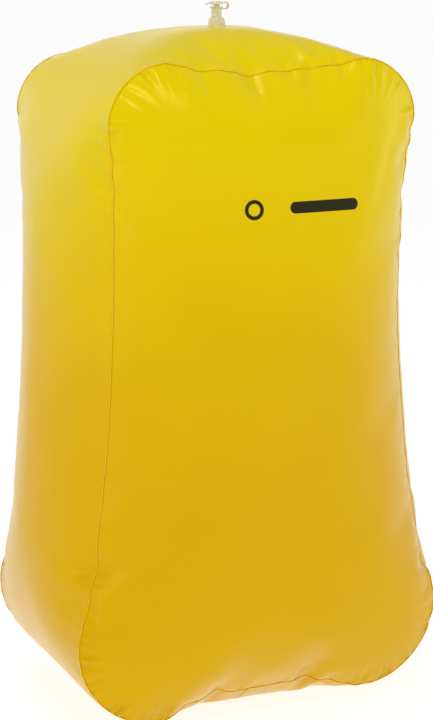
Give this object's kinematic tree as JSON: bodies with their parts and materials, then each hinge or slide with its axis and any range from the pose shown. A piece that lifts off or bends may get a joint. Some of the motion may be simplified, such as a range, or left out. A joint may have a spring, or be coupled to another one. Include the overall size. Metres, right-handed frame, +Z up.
{
  "type": "inflatable block",
  "caption": "Flared air-filled block: two crowned film panels welded to a wraparound gusset, with a recessing oral valve, tethered plug cap and check flap on top.",
  "frame": {"origin": "middle of the patch that rests on the floor, under the middle of the block", "axes": "+X to the right across the front panel, -Y out of the front panel, +Z up through the valve"},
  "size_m": [0.4064, 0.3472, 0.6784],
  "materials": {
    "yellow_film": "satin PVC film, air-filled, with puckers along its welds",
    "weld_bead": "satin, slightly darker welded edge",
    "lap_weld": "satin PVC film",
    "valve_vinyl": "soft milky translucent PVC, slightly glossy",
    "flap_film": "thin milky PVC"
  },
  "bodies": {
    "air_bag": {"front_panel": "yellow_film", "back_panel": "yellow_film", "gusset_band": "yellow_film", "gusset_lap_strip": "lap_weld", "front_weld_bead": "weld_bead", "back_weld_bead": "weld_bead", "valve_flange": "valve_vinyl", "valve_collar": "valve_vinyl"},
    "oral_valve": {"valve_stem": "valve_vinyl", "strap_root": "valve_vinyl"},
    "cap": {"plug_cap": "valve_vinyl", "strap_tip": "valve_vinyl", "pull_tab": "valve_vinyl"},
    "flap": {"check_flap": "flap_film"}
  },
  "joints": [
    {"name": "valve_recess", "type": "slide", "parent": "air_bag", "child": "oral_valve", "axis": [0, 0, -1], "range_m": [0, 0.014], "deforming": ["valve_collar"]},
    {"name": "cap_swing", "type": "hinge", "parent": "oral_valve", "child": "cap", "pos_m": [0.0172, 0, 0.6774], "axis": [0, 1, 0], "range_deg": [0, 150]},
    {"name": "flap_open", "type": "hinge", "parent": "oral_valve", "child": "flap", "pos_m": [0.0122, 0, 0.6517], "axis": [0, -1, 0], "range_deg": [0, 60], "stiffness_Nm_per_rad": 0.00002, "springref_deg": -28.65}
  ]
}
